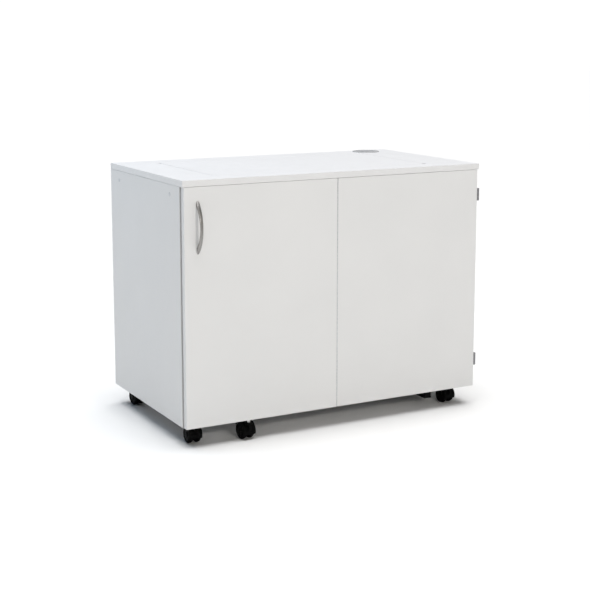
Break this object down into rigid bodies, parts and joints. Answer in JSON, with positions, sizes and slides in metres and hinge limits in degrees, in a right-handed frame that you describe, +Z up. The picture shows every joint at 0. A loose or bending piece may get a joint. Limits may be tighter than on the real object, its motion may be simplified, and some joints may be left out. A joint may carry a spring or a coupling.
{
  "type": "sewing table",
  "caption": "White board cabinet on twin-wheel castors with a lift-out infill lid over a rising machine platform, a folding front door with a bow handle, and a cable grommet.",
  "frame": {"origin": "on the floor, under the middle of the overall outline including the door handle", "axes": "+X to the right along the front, +Y from the front door to the back, +Z up"},
  "size_m": [1.0157, 0.59, 0.7725],
  "materials": {
    "melamine_board": "satin",
    "brushed_metal": "satin",
    "zinc_steel": "satin",
    "black_steel": "matte",
    "black_plastic": "satin",
    "white_plastic": "satin",
    "grey_plastic": "satin",
    "grey_rubber": "matte"
  },
  "bodies": {
    "cabinet": {"top_slab": "melamine_board", "side_panel_left": "melamine_board", "side_panel_right": "melamine_board", "back_panel": "melamine_board", "floor_panel": "melamine_board", "top_rails": "melamine_board", "lid_ledges": "melamine_board", "screw_caps": "white_plastic", "grommet_ring": "grey_plastic", "hinge_leaves_cabinet": "zinc_steel", "hinge_pins": "zinc_steel", "under_rail": "black_steel", "castor_plates": "zinc_steel", "castor_screws": "zinc_steel", "guide_columns": "zinc_steel", "column_collars": "grey_rubber", "lift_brackets": "zinc_steel", "lift_tapes": "zinc_steel", "magnet_catch": "black_plastic"},
    "door_right": {"door_panel_right": "melamine_board", "hinge_leaves_door": "zinc_steel", "fold_leaf_right": "zinc_steel", "fold_pin": "zinc_steel"},
    "door_left": {"door_panel_left": "melamine_board", "fold_leaf_left": "zinc_steel", "handle": "brushed_metal", "handle_screws": "zinc_steel", "door_castor_socket": "white_plastic", "strike_plate": "zinc_steel"},
    "infill_lid": {"infill_lid": "melamine_board"},
    "grommet_cap": {"grommet_cap": "grey_plastic"},
    "lift_platform": {"platform_board": "melamine_board", "carriage_frame": "black_steel", "bush_housings": "zinc_steel", "bushes": "white_plastic", "platform_screws": "zinc_steel"},
    "lift_lock": {"lock_rod": "zinc_steel", "lock_grip": "black_plastic"},
    "lift_drum_shaft": {"lift_shaft": "zinc_steel", "lift_drums": "black_plastic"},
    "castor_front_left": {"castor_yoke_front_left": "black_plastic", "castor_axle_front_left": "zinc_steel"},
    "castor_wheel_a_front_left": {"castor_wheel_a_front_left": "black_plastic"},
    "castor_wheel_b_front_left": {"castor_wheel_b_front_left": "black_plastic"},
    "castor_front_right": {"castor_yoke_front_right": "black_plastic", "castor_axle_front_right": "zinc_steel"},
    "castor_wheel_a_front_right": {"castor_wheel_a_front_right": "black_plastic"},
    "castor_wheel_b_front_right": {"castor_wheel_b_front_right": "black_plastic"},
    "castor_rear_left": {"castor_yoke_rear_left": "black_plastic", "castor_axle_rear_left": "zinc_steel"},
    "castor_wheel_a_rear_left": {"castor_wheel_a_rear_left": "black_plastic"},
    "castor_wheel_b_rear_left": {"castor_wheel_b_rear_left": "black_plastic"},
    "castor_rear_right": {"castor_yoke_rear_right": "black_plastic", "castor_axle_rear_right": "zinc_steel"},
    "castor_wheel_a_rear_right": {"castor_wheel_a_rear_right": "black_plastic"},
    "castor_wheel_b_rear_right": {"castor_wheel_b_rear_right": "black_plastic"},
    "castor_door": {"castor_yoke_door": "black_plastic", "castor_axle_door": "zinc_steel"},
    "castor_wheel_a_door": {"castor_wheel_a_door": "black_plastic"},
    "castor_wheel_b_door": {"castor_wheel_b_door": "black_plastic"}
  },
  "joints": [
    {"name": "door_right_swing", "type": "hinge", "parent": "cabinet", "child": "door_right", "pos_m": [0.509, -0.247, 0.4], "axis": [0, 0, 1], "range_deg": [0, 180]},
    {"name": "door_left_fold", "type": "hinge", "parent": "door_right", "child": "door_left", "pos_m": [-0.006, -0.265, 0.4], "axis": [0, 0, 1], "range_deg": [0, 170]},
    {"name": "lid_lift_off", "type": "slide", "parent": "cabinet", "child": "infill_lid", "axis": [0, 0, 1], "range_m": [0, 0.12]},
    {"name": "platform_lift", "type": "slide", "parent": "cabinet", "child": "lift_platform", "axis": [0, 0, 1], "range_m": [0, 0.335], "deforming": ["lift_tapes"]},
    {"name": "lift_lock_release", "type": "hinge", "parent": "lift_platform", "child": "lift_lock", "pos_m": [0.196, 0, 0.318], "axis": [0, 1, 0], "range_deg": [0, 40], "stiffness_Nm_per_rad": 0.4, "springref_deg": -20.05},
    {"name": "drum_shaft_turn", "type": "hinge", "parent": "cabinet", "child": "lift_drum_shaft", "pos_m": [0, 0.254, 0.716], "axis": [1, 0, 0], "range_deg": [-960, 0]},
    {"name": "grommet_cap_turn", "type": "hinge", "parent": "cabinet", "child": "grommet_cap", "pos_m": [0.396, 0.24, 0.77], "axis": [0, 0, 1], "continuous": true},
    {"name": "castor_front_left_swivel", "type": "hinge", "parent": "cabinet", "child": "castor_front_left", "pos_m": [-0.451, -0.219, 0.05], "axis": [0, 0, 1], "continuous": true},
    {"name": "castor_wheel_a_front_left_spin", "type": "hinge", "parent": "castor_front_left", "child": "castor_wheel_a_front_left", "pos_m": [-0.451, -0.199, 0.025], "axis": [1, 0, 0], "continuous": true},
    {"name": "castor_wheel_b_front_left_spin", "type": "hinge", "parent": "castor_front_left", "child": "castor_wheel_b_front_left", "pos_m": [-0.451, -0.199, 0.025], "axis": [1, 0, 0], "continuous": true},
    {"name": "castor_front_right_swivel", "type": "hinge", "parent": "cabinet", "child": "castor_front_right", "pos_m": [0.433, -0.219, 0.05], "axis": [0, 0, 1], "continuous": true},
    {"name": "castor_wheel_a_front_right_spin", "type": "hinge", "parent": "castor_front_right", "child": "castor_wheel_a_front_right", "pos_m": [0.43126, -0.19908, 0.025], "axis": [0.9962, 0.0872, 0], "continuous": true},
    {"name": "castor_wheel_b_front_right_spin", "type": "hinge", "parent": "castor_front_right", "child": "castor_wheel_b_front_right", "pos_m": [0.43126, -0.19908, 0.025], "axis": [0.9962, 0.0872, 0], "continuous": true},
    {"name": "castor_rear_left_swivel", "type": "hinge", "parent": "cabinet", "child": "castor_rear_left", "pos_m": [-0.442, 0.225, 0.05], "axis": [0, 0, 1], "continuous": true},
    {"name": "castor_wheel_a_rear_left_spin", "type": "hinge", "parent": "castor_rear_left", "child": "castor_wheel_a_rear_left", "pos_m": [-0.44478, 0.2448, 0.025], "axis": [0.9903, 0.1392, 0], "continuous": true},
    {"name": "castor_wheel_b_rear_left_spin", "type": "hinge", "parent": "castor_rear_left", "child": "castor_wheel_b_rear_left", "pos_m": [-0.44478, 0.2448, 0.025], "axis": [0.9903, 0.1392, 0], "continuous": true},
    {"name": "castor_rear_right_swivel", "type": "hinge", "parent": "cabinet", "child": "castor_rear_right", "pos_m": [0.437, 0.225, 0.05], "axis": [0, 0, 1], "continuous": true},
    {"name": "castor_wheel_a_rear_right_spin", "type": "hinge", "parent": "castor_rear_right", "child": "castor_wheel_a_rear_right", "pos_m": [0.43909, 0.24489, 0.025], "axis": [0.9945, -0.1045, 0], "continuous": true},
    {"name": "castor_wheel_b_rear_right_spin", "type": "hinge", "parent": "castor_rear_right", "child": "castor_wheel_b_rear_right", "pos_m": [0.43909, 0.24489, 0.025], "axis": [0.9945, -0.1045, 0], "continuous": true},
    {"name": "castor_door_swivel", "type": "hinge", "parent": "door_left", "child": "castor_door", "pos_m": [-0.297, -0.256, 0.05], "axis": [0, 0, 1], "continuous": true},
    {"name": "castor_wheel_a_door_spin", "type": "hinge", "parent": "castor_door", "child": "castor_wheel_a_door", "pos_m": [-0.29874, -0.23608, 0.025], "axis": [0.9962, 0.0872, 0], "continuous": true},
    {"name": "castor_wheel_b_door_spin", "type": "hinge", "parent": "castor_door", "child": "castor_wheel_b_door", "pos_m": [-0.29874, -0.23608, 0.025], "axis": [0.9962, 0.0872, 0], "continuous": true}
  ],
  "couplings": [
    {"joint": "drum_shaft_turn", "follows": "platform_lift", "rad_per_m": -50}
  ]
}
